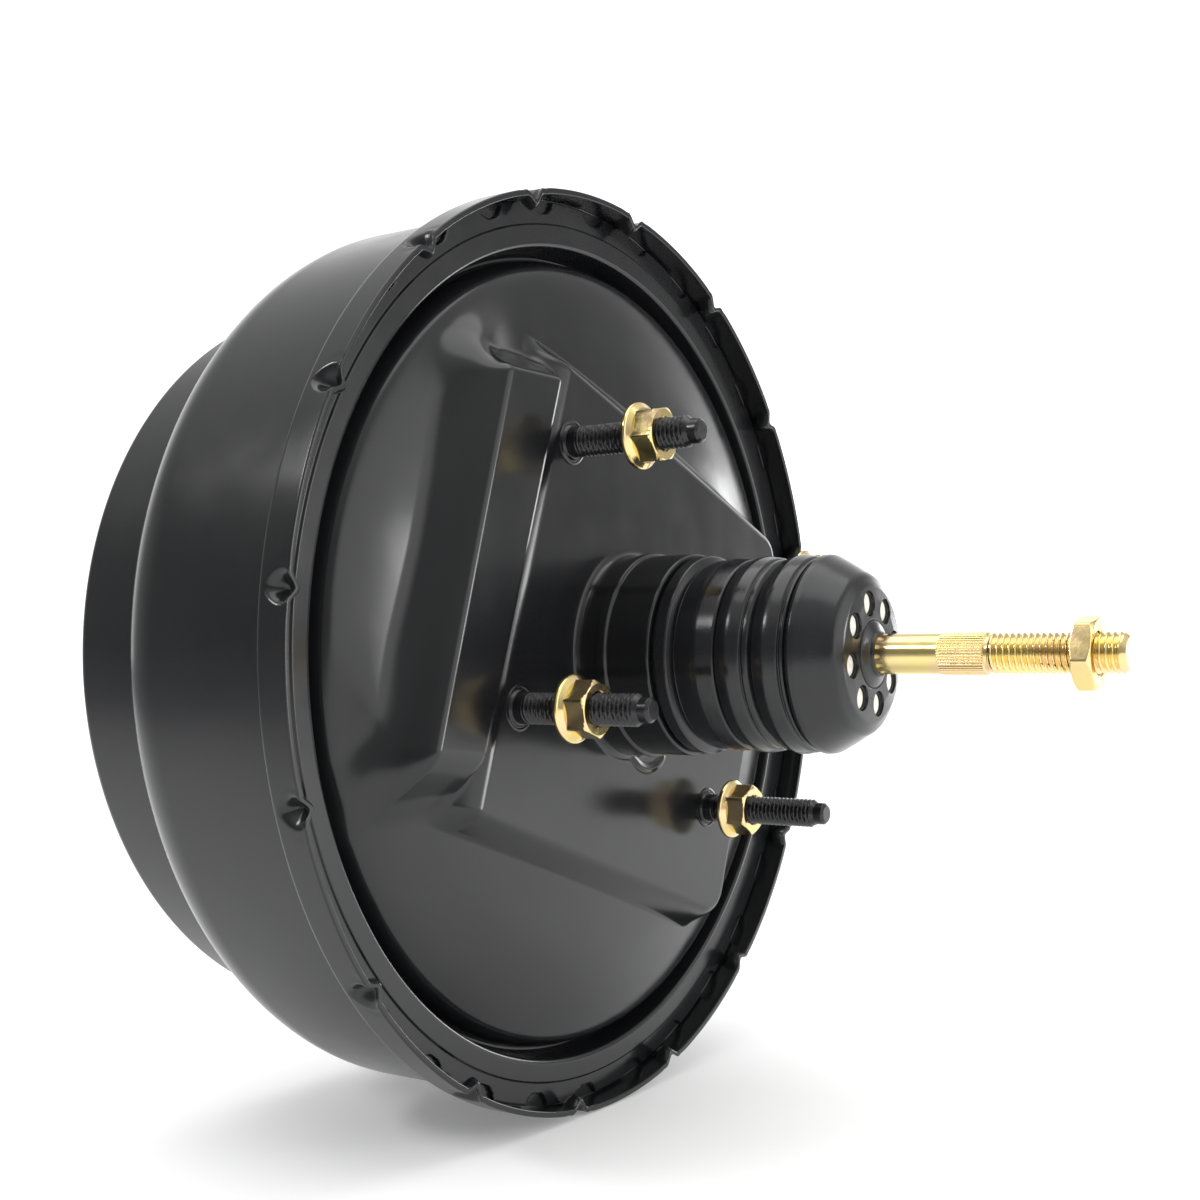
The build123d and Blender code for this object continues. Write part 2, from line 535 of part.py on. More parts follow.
with BuildPart() as valve_silencer:
    with BuildSketch(across(48.0)):
        Circle(14.4)
        Circle(8.4, mode=Mode.SUBTRACT)
    extrude(amount=12.0)
valve_silencer.part.label = "valve_silencer"

with BuildPart() as air_filter:
    with BuildSketch(Plane.XZ):
        with BuildLine():
            Polyline((62.5, 8.8), (62.5, 21.8), (69.8, 21.8), (72.8, 19.8), (75.3, 18.1), (76.8, 15.2), (76.8, 8.8), close=True)
        make_face()
    revolve(axis=Axis.X)
air_filter.part.label = "air_filter"

# ---------------------------------------------------------------- valve plunger and pushrod
with BuildPart() as valve_plunger:
    with BuildSketch(Plane.XZ):
        with BuildLine():
            p1 = Polyline((-37.6, 0), (-37.6, 7.4), (-37.1, 7.95), (-10.7, 7.95), (-10.7, 4.5), (-5.9, 4.5), (-5.9, 7.95), (8.2, 7.95), (8.6, 7.5), (8.6, 6.6), (6.4, 6.0), (6.4, 4.6), (5.2, 4.2), (4.6, 4.2), (4.2, 5.1), (-4.1, 5.1), (-4.1, 0))
            p2 = Line(p1 @ 1, p1 @ 0)
        make_face()
    revolve(axis=Axis.X)
valve_plunger.part.label = "valve_plunger"

with BuildPart() as input_rod:
    with BuildSketch(Plane.XZ):
        with BuildLine():
            b = 4.7
            nx = sqrt(b * b - 3.0 ** 2)
            i1 = ThreePointArc((BALL_X - b, 0), (BALL_X, b), (BALL_X + nx, 3.0))
            i2 = Polyline(i1 @ 1, (10.0, 3.0), (12.5, ROD_R), (36.0, ROD_R), (36.0, 10.0), (37.4, 10.0), (37.4, ROD_R), (KNURL_0, ROD_R), (KNURL_0 + 0.3, ROD_R + 0.12), (KNURL_1 - 0.3, ROD_R + 0.12), (KNURL_1, 4.6), (KNURL_1 + 1.0, THREAD_R), (LOCK_0, THREAD_R), (LOCK_0, ROD_PITCH_R), (LOCK_1 + 0.5, ROD_PITCH_R), (LOCK_1 + 0.5, THREAD_R), (ROD_END - 1.2, THREAD_R), (ROD_END, 3.8), (ROD_END, 0))
            i3 = Line(i2 @ 1, i1 @ 0)
        make_face()
    revolve(axis=Axis.X)
input_rod.part.label = "input_rod"

with BuildPart() as lock_nut:
    with BuildSketch(across(LOCK_0)):
        RegularPolygon(LOCK_AF / 2, 6, major_radius=False, rotation=16.0)
        Circle(ROD_PITCH_R + 0.05, mode=Mode.SUBTRACT)
    extrude(amount=LOCK_1 - LOCK_0)
    with BuildSketch(Plane.XZ):
        with BuildLine():
            Polyline((LOCK_0 - 0.1, 7.8), (LOCK_0 + 1.0, 9.4), (LOCK_0 - 0.1, 9.4), close=True)
            Polyline((LOCK_1 + 0.1, 7.8), (LOCK_1 - 1.0, 9.4), (LOCK_1 + 0.1, 9.4), close=True)
        make_face()
    revolve(axis=Axis.X, mode=Mode.SUBTRACT)
lock_nut.part.label = "lock_nut"

# ---------------------------------------------------------------- springs
def coil(x0, x1, r0, r1, turns, wire):
    """Round-wire compression spring along X with closed ends."""
    n = int(turns * 12)
    pts = []
    for i in range(n + 1):
        f = i / n
        # the first and last half turn advance slowly, as on closed ends
        t = f * turns
        g = (max(0.0, t - 0.5) - max(0.0, t - (turns - 0.5))) / (turns - 1.0)
        x = x0 + (x1 - x0) * (0.1 * f + 0.9 * g)
        r = r0 + (r1 - r0) * f
        a = 2 * pi * t
        pts.append((x, r * cos(a), r * sin(a)))
    path = Spline(*pts)
    return sweep(Plane(origin=path @ 0, z_dir=path % 0) * Circle(wire / 2), path=path)


springs = [
    ("return_spring", (-95.2, -52.1, 29.2, 24.0, 6.0, 3.2)),
    ("rod_return_spring", (25.0, 35.2, 8.9, 8.4, 3.5, 1.2)),
    ("poppet_spring", (12.2, 19.4, 8.6, 8.6, 3.0, 0.9)),
]
for name, args in springs:
    shape = coil(*args)
    with BuildPart() as spring:
        add(shape)
    spring.part.label = name
    spring.part.move(Location((-PAD_X, 0, 0)))
    export_step(spring.part, "parts/" + name + ".step")

# ---------------------------------------------------------------- boot
boot_out = [(22.6, 24.9), (29.4, 24.9), (29.4, 25.7), (30.6, 26.1), (33.9, 26.1), (34.6, 25.0), (35.1, 23.5), (35.7, 24.7), (41.0, 25.0), (46.3, 24.9), (46.9, 23.9), (47.5, 25.1), (50.5, 25.3), (53.2, 25.2), (55.0, 24.5), (56.6, 24.0), (57.0, 23.2), (57.5, 25.0), (61.0, 25.4), (63.8, 25.3), (65.4, 24.5), (66.0, 23.6), (66.6, 25.0), (67.8, 25.3), (68.8, 24.9), (71.5, 23.5), (74.5, 21.6), (77.0, 20.0), (78.4, 17.7), (78.8, 16.4), (78.8, 7.0), (80.2, 7.0)]
boot_in = [(80.2, 5.45), (77.1, 5.45), (77.1, 16.4), (75.9, 18.5), (73.4, 20.3), (71.0, 21.9), (69.0, 23.1), (67.6, 23.3), (66.0, 22.2), (64.9, 23.3), (62.4, 24.0), (62.4, 18.6), (60.8, 18.6), (60.8, 24.0), (58.6, 23.6), (57.0, 21.9), (55.4, 22.8), (53.0, 23.8), (48.6, 23.8), (46.9, 22.5), (45.4, 23.5), (37.0, 23.4), (35.1, 22.2), (33.2, 23.4), (22.6, 23.4)]
with BuildPart() as boot:
    with BuildSketch(Plane.XZ):
        with BuildLine():
            Polyline(*(boot_out + boot_in), close=True)
        make_face()
    revolve(axis=Axis.X)
    with BuildSketch(across(75.0)):
        with PolarLocations(12.8, 8, start_angle=13.1):
            Circle(3.0)
    extrude(amount=6, mode=Mode.SUBTRACT)
boot.part.label = "boot"

for item in (front_shell, rear_shell, front_reinforcement, rear_reinforcement, bulkhead_studs, bulkhead_nuts, master_cylinder_studs, grommet, check_valve, front_seal, centre_plate, centre_plate_seal, body_seal, guide_bush, seal_retainer, rear_diaphragm, front_diaphragm, valve_body, rear_diaphragm_plate, front_diaphragm_plate, plate_ring, valve_key, reaction_disc, output_rod, output_rod_screw, poppet_valve, poppet_retainer, valve_silencer, air_filter, valve_plunger, input_rod, lock_nut, boot):
    item.part.move(Location((-PAD_X, 0, 0)))
    export_step(item.part, "parts/" + item.part.label + ".step")
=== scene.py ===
import math

import bpy
import bmesh
import numpy as np
from mathutils import Matrix, Vector


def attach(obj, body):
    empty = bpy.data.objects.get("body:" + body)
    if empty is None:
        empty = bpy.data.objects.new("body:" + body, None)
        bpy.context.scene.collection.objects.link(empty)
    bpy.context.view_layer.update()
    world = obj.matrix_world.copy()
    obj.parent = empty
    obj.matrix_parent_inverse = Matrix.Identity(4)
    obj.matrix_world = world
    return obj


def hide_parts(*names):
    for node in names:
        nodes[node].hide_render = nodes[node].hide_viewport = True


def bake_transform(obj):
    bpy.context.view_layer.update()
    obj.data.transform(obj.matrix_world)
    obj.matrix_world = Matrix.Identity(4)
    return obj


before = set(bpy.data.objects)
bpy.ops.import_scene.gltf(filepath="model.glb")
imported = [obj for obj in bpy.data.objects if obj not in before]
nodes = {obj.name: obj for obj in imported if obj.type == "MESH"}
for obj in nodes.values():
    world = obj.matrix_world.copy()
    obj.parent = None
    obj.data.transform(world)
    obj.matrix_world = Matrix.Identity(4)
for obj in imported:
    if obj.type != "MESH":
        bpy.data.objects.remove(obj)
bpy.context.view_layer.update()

# Lengths below are in millimetres. X is measured from the rear edge of the
# crimped rim; SHIFT moves it to the bulkhead seat's plane.
MM = 0.001
SHIFT = 7.0
RIM_R = 125.0
TURN = math.radians(-18.5)
CT, ST = math.cos(TURN), math.sin(TURN)
STUDS = [(-44.25, 43.0), (-44.25, -29.0), (54.25, -29.0), (54.25, 43.0)]
NUT_X = [28.0, 23.6, 15.7, 28.0]
NUT_TURN = [40.6, 12.0, 0.0, 20.0]
DENT_0, DENTS = 106.2, 16
rng = np.random.default_rng(7)


# ------------------------------------------------------------------ geometry
def profile(pts, closed=True, arc_step=7.0, support=0.3, step=None):
    """Dense points of a polyline whose corners (x, r, radius) are rounded."""
    n = len(pts)
    out = []
    for i in range(n):
        p = np.array(pts[i][:2], float)
        rad = pts[i][2] if len(pts[i]) > 2 else 0.0
        if (not closed and i in (0, n - 1)) or rad <= 0:
            out.append(p)
            continue
        a = np.array(pts[(i - 1) % n][:2], float)
        b = np.array(pts[(i + 1) % n][:2], float)
        da, db = a - p, b - p
        la, lb = np.linalg.norm(da), np.linalg.norm(db)
        da, db = da / la, db / lb
        ang = math.acos(max(-1.0, min(1.0, float(da @ db))))
        if ang > math.pi - 0.01:
            out.append(p)
            continue
        t = rad / math.tan(ang / 2)
        t = min(t, la * 0.49, lb * 0.49)
        r = t * math.tan(ang / 2)
        mid = (da + db) / np.linalg.norm(da + db)
        c = p + mid * (r / math.sin(ang / 2))
        s, e = p + da * t, p + db * t
        a0 = math.atan2(*(s - c)[::-1])
        a1 = math.atan2(*(e - c)[::-1])
        d = (a1 - a0 + math.pi) % (2 * math.pi) - math.pi
        k = max(2, int(math.ceil(abs(math.degrees(d)) / arc_step)))
        if la * 0.5 > t + 2 * support:
            out.append(s + da * support)
        for j in range(k + 1):
            w = a0 + d * j / k
            out.append(c + r * np.array([math.cos(w), math.sin(w)]))
        if lb * 0.5 > t + 2 * support:
            out.append(e + db * support)
    out = np.array(out)
    if step:
        dense = []
        m = len(out)
        for i in range(m if closed else m - 1):
            a, b = out[i], out[(i + 1) % m]
            k = max(1, int(math.ceil(np.linalg.norm(b - a) / step)))
            for j in range(k):
                dense.append(a + (b - a) * j / k)
        if not closed:
            dense.append(out[-1])
        out = np.array(dense)
    return out


def grid_faces(m, n, wrap_m, wrap_n):
    i = np.arange(m if wrap_m else m - 1)
    j = np.arange(n if wrap_n else n - 1)
    I, J = np.meshgrid(i, j, indexing="ij")
    I2, J2 = (I + 1) % m, (J + 1) % n
    return np.stack([I * n + J, I2 * n + J, I2 * n + J2, I * n + J2], -1).reshape(-1, 4)


def signed_volume(V, F):
    a, b, c, d = V[F[:, 0]], V[F[:, 1]], V[F[:, 2]], V[F[:, 3]]
    return float((np.einsum("ij,ij->i", a, np.cross(b, c)) + np.einsum("ij,ij->i", a, np.cross(c, d))).sum())


def to_object(name, V, F, mat, sharp=38.0, merge=False):
    V = np.asarray(V, float).copy()
    if signed_volume(V, F) < 0:
        F = F[:, ::-1]
    V[:, 0] -= SHIFT
    V *= MM
    me = bpy.data.meshes.new(name)
    me.from_pydata(V.tolist(), [], F.tolist())
    if merge:
        bm = bmesh.new()
        bm.from_mesh(me)
        bmesh.ops.remove_doubles(bm, verts=bm.verts, dist=2e-7)
        bmesh.ops.dissolve_degenerate(bm, edges=bm.edges, dist=1e-8)
        bm.to_mesh(me)
        bm.free()
    me.update()
    me.shade_smooth()
    if sharp:
        me.set_sharp_from_angle(angle=math.radians(sharp))
    me.materials.append(mat)
    ob = bpy.data.objects.new(name, me)
    bpy.context.scene.collection.objects.link(ob)
    return ob


def revolved(P, n, fn=None, centre=(0.0, 0.0)):
    """Grid of points of the closed profile P turned about the line through centre along X."""
    th = np.arange(n) * 2 * math.pi / n
    X = P[:, 0][:, None] + 0 * th[None, :]
    R = P[:, 1][:, None] + 0 * th[None, :]
    T = th[None, :] + 0 * X
    if fn:
        X, R = fn(X, R, T)
    V = np.stack([X, centre[0] + R * np.cos(T), centre[1] + R * np.sin(T)], -1).reshape(-1, 3)
    return V, grid_faces(len(P), n, True, True)


def seat_yz(u, v):
    return u * CT - v * ST, u * ST + v * CT


def smin(a, b, k):
    h = np.clip(0.5 + 0.5 * (b - a) / k, 0, 1)
    return b * (1 - h) + a * h - k * h * (1 - h)


def smax(a, b, k):
    return -smin(-a, -b, k)


def sstep(a, b, x):
    t = np.clip((x - a) / (b - a), 0, 1)
    return t * t * (3 - 2 * t)


def spline(xs, ys):
    """Natural cubic spline through the points, as a function."""
    xs, ys = np.array(xs, float), np.array(ys, float)
    n = len(xs)
    h = np.diff(xs)
    A = np.zeros((n, n))
    b = np.zeros(n)
    A[0, 0] = A[-1, -1] = 1
    for i in range(1, n - 1):
        A[i, i - 1], A[i, i], A[i, i + 1] = h[i - 1], 2 * (h[i - 1] + h[i]), h[i]
        b[i] = 6 * ((ys[i + 1] - ys[i]) / h[i] - (ys[i] - ys[i - 1]) / h[i - 1])
    M = np.linalg.solve(A, b)

    def f(x):
        x = np.clip(x, xs[0], xs[-1])
        i = np.clip(np.searchsorted(xs, x) - 1, 0, n - 2)
        t0, t1 = xs[i + 1] - x, x - xs[i]
        return (M[i] * t0 ** 3 + M[i + 1] * t1 ** 3) / (6 * h[i]) + (ys[i] / h[i] - M[i] * h[i] / 6) * t0 + (ys[i + 1] / h[i] - M[i + 1] * h[i] / 6) * t1

    return f


# ----------------------------------------------------------------- materials
def new_mat(name, base, rough, metallic=0.0, base2=None, rough2=None, scale=60.0, detail=4.0, coat=0.0, coat_rough=0.05, spec=None, bump=0.0, bump_scale=400.0, stretch=None, sheen=0.0, lo=0.35, hi=0.65):
    m = bpy.data.materials.new(name)
    m.use_nodes = True
    nt = m.node_tree
    bs = nt.nodes["Principled BSDF"]
    bs.inputs["Metallic"].default_value = metallic
    if coat:
        bs.inputs["Coat Weight"].default_value = coat
        bs.inputs["Coat Roughness"].default_value = coat_rough
    if spec is not None:
        bs.inputs["Specular IOR Level"].default_value = spec
    if sheen:
        bs.inputs["Sheen Weight"].default_value = sheen
    co = nt.nodes.new("ShaderNodeTexCoord")
    src = co.outputs["Object"]
    if stretch:
        mp = nt.nodes.new("ShaderNodeMapping")
        mp.inputs["Scale"].default_value = stretch
        nt.links.new(src, mp.inputs["Vector"])
        src = mp.outputs["Vector"]
    noise = nt.nodes.new("ShaderNodeTexNoise")
    noise.inputs["Scale"].default_value = scale
    noise.inputs["Detail"].default_value = detail
    nt.links.new(src, noise.inputs["Vector"])
    ramp = nt.nodes.new("ShaderNodeValToRGB")
    ramp.color_ramp.elements[0].position = lo
    ramp.color_ramp.elements[1].position = hi
    ramp.color_ramp.elements[0].color = (*base, 1)
    ramp.color_ramp.elements[1].color = (*(base2 or base), 1)
    nt.links.new(noise.outputs["Fac"], ramp.inputs["Fac"])
    nt.links.new(ramp.outputs["Color"], bs.inputs["Base Color"])
    rr = nt.nodes.new("ShaderNodeMapRange")
    rr.inputs["From Min"].default_value = 0.3
    rr.inputs["From Max"].default_value = 0.7
    rr.inputs["To Min"].default_value = rough
    rr.inputs["To Max"].default_value = rough2 if rough2 is not None else rough
    noise2 = nt.nodes.new("ShaderNodeTexNoise")
    noise2.inputs["Scale"].default_value = scale * 2.7
    noise2.inputs["Detail"].default_value = 3.0
    nt.links.new(src, noise2.inputs["Vector"])
    nt.links.new(noise2.outputs["Fac"], rr.inputs["Value"])
    nt.links.new(rr.outputs["Result"], bs.inputs["Roughness"])
    if bump:
        nb = nt.nodes.new("ShaderNodeTexNoise")
        nb.inputs["Scale"].default_value = bump_scale
        nb.inputs["Detail"].default_value = 2.0
        nt.links.new(src, nb.inputs["Vector"])
        bu = nt.nodes.new("ShaderNodeBump")
        bu.inputs["Strength"].default_value = bump
        bu.inputs["Distance"].default_value = 0.0004
        nt.links.new(nb.outputs["Fac"], bu.inputs["Height"])
        nt.links.new(bu.outputs["Normal"], bs.inputs["Normal"])
    return m


paint = new_mat("gloss_black_paint", (0.008, 0.0085, 0.0095), 0.16, base2=(0.011, 0.0115, 0.0125), rough2=0.22, scale=25.0, bump=0.16, bump_scale=48.0)
phosphate = new_mat("black_phosphate", (0.008, 0.008, 0.009), 0.15, metallic=0.0, base2=(0.014, 0.014, 0.016), rough2=0.26, scale=500.0, bump=0.12, bump_scale=2500.0)
zinc = new_mat("yellow_zinc", (0.84, 0.68, 0.29), 0.12, metallic=1.0, base2=(0.84, 0.60, 0.36), rough2=0.22, scale=110.0, bump=0.03, bump_scale=1500.0, lo=0.42, hi=0.72)
rubber = new_mat("black_rubber", (0.010, 0.0105, 0.012), 0.15, base2=(0.014, 0.0145, 0.016), rough2=0.24, scale=90.0, bump=0.05, bump_scale=1800.0)
steel = new_mat("plain_steel", (0.50, 0.50, 0.51), 0.28, metallic=1.0, base2=(0.62, 0.62, 0.62), rough2=0.40, scale=80.0, bump=0.03, bump_scale=900.0)
spring_mat = new_mat("spring_steel", (0.20, 0.20, 0.21), 0.30, metallic=1.0, base2=(0.34, 0.33, 0.33), rough2=0.42, scale=150.0, bump=0.04, bump_scale=1200.0)
plastic = new_mat("dark_plastic", (0.022, 0.022, 0.024), 0.40, base2=(0.032, 0.032, 0.034), rough2=0.5, scale=140.0, bump=0.05, bump_scale=1300.0)
pale = new_mat("pale_plastic", (0.60, 0.57, 0.48), 0.45, base2=(0.68, 0.65, 0.56), rough2=0.55, scale=90.0, bump=0.03, bump_scale=900.0)
dark_foam = new_mat("dark_filter_foam", (0.02, 0.02, 0.022), 0.85, base2=(0.035, 0.035, 0.037), rough2=1.0, scale=900.0, bump=0.6, bump_scale=1600.0)
foam = new_mat("filter_foam", (0.80, 0.77, 0.68), 0.9, base2=(0.95, 0.93, 0.86), rough2=1.0, scale=900.0, bump=0.6, bump_scale=1600.0, lo=0.3, hi=0.6)

SLOT = {
    "front_shell": paint, "rear_shell": paint, "front_reinforcement": steel, "rear_reinforcement": steel,
    "bulkhead_studs": phosphate, "bulkhead_nuts": zinc, "master_cylinder_studs": phosphate, "grommet": rubber,
    "check_valve": plastic, "front_seal": rubber, "centre_plate": steel, "centre_plate_seal": rubber,
    "body_seal": rubber, "guide_bush": pale, "seal_retainer": steel, "rear_diaphragm": rubber,
    "front_diaphragm": rubber, "return_spring": spring_mat, "boot": rubber, "valve_body": plastic,
    "rear_diaphragm_plate": steel, "front_diaphragm_plate": steel, "plate_ring": steel, "valve_key": steel,
    "reaction_disc": rubber, "output_rod": zinc, "output_rod_screw": zinc, "poppet_valve": rubber,
    "poppet_retainer": steel, "poppet_spring": spring_mat, "valve_silencer": foam, "air_filter": dark_foam,
    "valve_plunger": steel, "input_rod": zinc, "lock_nut": zinc, "rod_return_spring": spring_mat,
}
for name, ob in nodes.items():
    ob.data.materials.clear()
    ob.data.materials.append(SLOT[name])


# --------------------------------------------------------------- front shell
def dent(X, R, T):
    """Inward push of the rim's wall at the staked dents."""
    step = 2 * math.pi / DENTS
    d = (T - math.radians(DENT_0) + step / 2) % step - step / 2
    s = np.abs(d) * RIM_R
    depth = np.interp(-X, [0.0, 1.0, 2.5, 4.2, 5.6, 6.8], [2.5, 3.3, 3.8, 2.8, 1.1, 0.0])
    half = np.interp(-X, [0.0, 1.2, 3.0, 5.0, 6.8], [3.4, 4.2, 4.1, 3.0, 1.2])
    v = np.clip(1 - s / half, 0, 1)
    v = v - 0.06 * np.sin(2 * math.pi * v)
    # the sheet bulges a little beside each dent
    side = 0.25 * np.exp(-((s - half - 1.4) / 1.3) ** 2) * (depth > 0) * np.interp(-X, [0, 5.0], [1, 0])
    on = (X > -7.2) & (R > 122.0)
    R = np.where(on, R - depth * v - side * 0.6, R)
    return X, R


shell_pts = [
    (0.0, 123.4, 0.35), (0.0, 125.0, 0.45), (-9.3, 125.0, 1.8), (-9.3, 120.8, 0.8), (-56.58, 120.8, 28.0),
    (-68.2, 104.2, 8.0), (-93.5, 104.2, 3.0), (-93.5, 58.8, 3.0), (-101.0, 53.2, 2.0), (-101.0, 17.0, 1.2),
    (-90.0, 17.0, 0.4), (-90.0, 12.0, 0.3), (-86.4, 12.0, 0.3), (-86.4, 7.0, 0.2), (-84.8, 7.0, 0.2),
    (-84.8, 13.6, 0.5), (-88.4, 13.6, 0.3), (-88.4, 18.6, 0.5), (-99.4, 18.6, 0.5), (-99.4, 52.4, 1.0),
    (-91.9, 58.2, 2.0), (-91.9, 102.6, 1.4), (-67.37, 102.6, 9.6), (-55.75, 119.2, 26.4), (-7.7, 119.2, 0.3),
    (-7.7, 123.4, 0.3),
]
P = profile(shell_pts, arc_step=4.0)
# more rows across the rim's wall, where the dents are
rows = []
for i in range(len(P)):
    a, b = P[i], P[(i + 1) % len(P)]
    rows.append(a)
    L = np.linalg.norm(b - a)
    if min(a[1], b[1]) > 123.0 and L > 0.7:
        k = int(L / 0.45)
        rows += [a + (b - a) * j / k for j in range(1, k)]
    elif L > 6.0:
        k = int(L / 4.0)
        rows += [a + (b - a) * j / k for j in range(1, k)]
P = np.array(rows)
V, F = revolved(P, 1440, dent)
front_shell = to_object("front_shell_sheet", V, F, paint)
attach(front_shell, "housing")
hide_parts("front_shell")

# ---------------------------------------------------------------- rear shell
dome_f = spline([26.0, 40.0, 52.0, 62.0, 72.0, 82.0, 90.0, 96.0, 100.0, 103.0, 104.8, 106.0, 106.8, 107.4, 108.0, 108.8],
                [3.6, 3.4, 2.9, 2.3, 1.3, 0.0, -1.6, -3.0, -4.1, -5.15, -6.1, -7.3, -8.8, -10.4, -12.3, -14.9])
RIB_L, RIB_R, RIB_X = -77.6, -57.6, 11.0


def height(Y, Z):
    """X of the rear shell's outside over the dome, the seat and the rib."""
    r = np.hypot(Y, Z)
    dome = dome_f(r)
    u = Y * CT + Z * ST
    v = -Y * ST + Z * CT
    # seat: distance from its outline, negative inside
    uc, vc = (-70.0 + 72.0) / 2, (-58.1 + 61.5) / 2
    hu, hv, rad = (72.0 + 70.0) / 2, (61.5 + 58.1) / 2, 8.0
    qu, qv = np.abs(u - uc) - hu + rad, np.abs(v - vc) - hv + rad
    sd = np.hypot(np.maximum(qu, 0), np.maximum(qv, 0)) + np.minimum(np.maximum(qu, qv), 0) - rad
    t = 1 - sd / 5.0
    t = smin(t, 1.0 + 0 * t, 0.30)
    t = smax(t, 0 * t, 0.10)
    t = np.clip(t, 0, 1.0)
    fade = sstep(-63.0, -50.0, u)
    X = dome + (7.0 - dome) * t * fade
    # rib
    # the dome stands a little fuller beside the rib
    full = 4.5 * np.exp(-(((u + 80.0) / 12.0) ** 2 + ((v - 53.0) / 15.0) ** 2)) + 2.2 * np.exp(-(((u + 84.0) / 12.0) ** 2 + ((v + 46.0) / 14.0) ** 2))
    X = X + full * sstep(104.5, 95.0, r)
    du = np.maximum(1.9 * (RIB_L - 0.03 * v - u), 1.7 * (u - RIB_R))
    dv = np.maximum(1.05 * (-51.5 + 0.2375 * (u + 76.1) - v), 2.0 * (v - 46.8 - 0.35 * (u + 79.2)))
    cu, cv = du + 3.0, dv + 3.0
    d = np.hypot(np.maximum(cu, 0), np.maximum(cv, 0)) + np.minimum(np.maximum(cu, cv), 0) - 3.0
    rib = RIB_X - smax(d, 0 * d, 3.0)
    soft = 1.2 + 6.0 * sstep(-74.0, -84.0, u) + 2.5 * sstep(-48.0, -60.0, v) + 4.0 * sstep(42.0, 54.0, v)
    X = smax(X, rib, soft)
    # fillet up to the neck
    f = np.clip(29.2 - r, 0, 2.4)
    X = X + np.where(r < 29.2, 2.4 - np.sqrt(np.maximum(2.4 ** 2 - f ** 2, 0)), 0)
    # small curved pip under the neck
    arc = np.abs(np.hypot(Y - 9.5, Z + 19.8) - 11.7)
    X = X + 0.9 * np.exp(-(arc / 0.8) ** 2) * sstep(-27.0, -29.0, Z) * sstep(19.0, 16.0, Y)
    return X


N = 1200
th = np.arange(N) * 2 * math.pi / N
C, S = np.cos(th), np.sin(th)


def pockets(X, R, T):
    """Scalloped recesses in the flange's edge on both sides of each dent."""
    step = 2 * math.pi / DENTS
    d = (T - math.radians(DENT_0) + step / 2) % step - step / 2
    s = np.abs(d) * 122.0 - 11.7
    e = 1 - (s / 4.6) ** 2
    edge = 123.2 - 3.4 * np.clip(e, 0, 1) ** 0.6
    deep = sstep(-0.5, 0.35, R - edge)
    return X - 2.6 * deep * (R > 117.5) * (e > 0), R


flange = profile([
    (-9.0, 122.9, 0.2), (-6.6, 122.9, 0.6), (-6.6, 117.0, 0.3), (-6.1, 116.5, 0.3), (-6.1, 110.9, 1.3),
    (-14.9, 109.5, 1.0), (-14.9, 108.4, 0.3), (-13.9, 108.0, 0.0),
], closed=False, arc_step=8.0, support=0.2, step=0.35)
flange = flange[:-1]
rr = np.concatenate([np.arange(108.3, 100.0, -0.28), np.arange(100.0, 29.4, -0.36), np.arange(29.2, 26.85, -0.16)])
neck = profile([
    (9.4, 26.8, 0.0), (13.4, 26.8, 0.4), (13.9, 27.5, 0.5), (16.2, 27.5, 0.5), (16.7, 26.8, 0.4),
    (29.1, 26.8, 0.7), (29.1, 25.2, 0.4), (6.0, 25.2, 0.0),
], closed=False, arc_step=9.0, support=0.25, step=0.9)
rows_v = []
Xf = flange[:, 0][:, None] + 0 * th
Rf = flange[:, 1][:, None] + 0 * th
Tf = th[None, :] + 0 * Xf
Xf, Rf = pockets(Xf, Rf, Tf)
top = np.stack([Xf, Rf * C, Rf * S], -1)
Y, Z = rr[:, None] * C, rr[:, None] * S
mid = np.stack([height(Y, Z), Y, Z], -1)
nk = np.stack([neck[:, 0][:, None] + 0 * th, neck[:, 1][:, None] * C, neck[:, 1][:, None] * S], -1)
ru = np.concatenate([np.arange(27.0, 107.4, 2.2), [107.4]])
Y, Z = ru[:, None] * C, ru[:, None] * S
under = np.stack([height(Y, Z) - 1.8, Y, Z], -1)
back = profile([(-15.4, 107.4, 0.0), (-16.3, 110.9, 0.8), (-8.2, 112.4, 0.4), (-9.0, 122.6, 0.0)], closed=False, step=2.0)
bk = np.stack([back[:, 0][:, None] + 0 * th, back[:, 1][:, None] * C, back[:, 1][:, None] * S], -1)
G = np.concatenate([top, mid, nk, under, bk], 0)
V = G.reshape(-1, 3)
F = grid_faces(len(G), N, True, True)
rear_shell = to_object("rear_shell_sheet", V, F, paint, sharp=50.0)
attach(rear_shell, "housing")
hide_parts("rear_shell")


# ------------------------------------------------------------- threaded pieces
def thread_r(X, T, pitch, major, x0, x1, depth=None, hand=1.0):
    depth = 0.61 * pitch if depth is None else depth
    ph = (X / pitch - hand * T / (2 * math.pi)) % 1.0
    tri = np.clip(np.abs(ph - 0.5) * 2 * 1.25 - 0.1, 0, 1)
    run = np.clip((X - x0) / (0.9 * pitch), 0, 1) * np.clip((x1 - X) / (0.9 * pitch), 0, 1)
    return major - depth * (1 - tri) * run


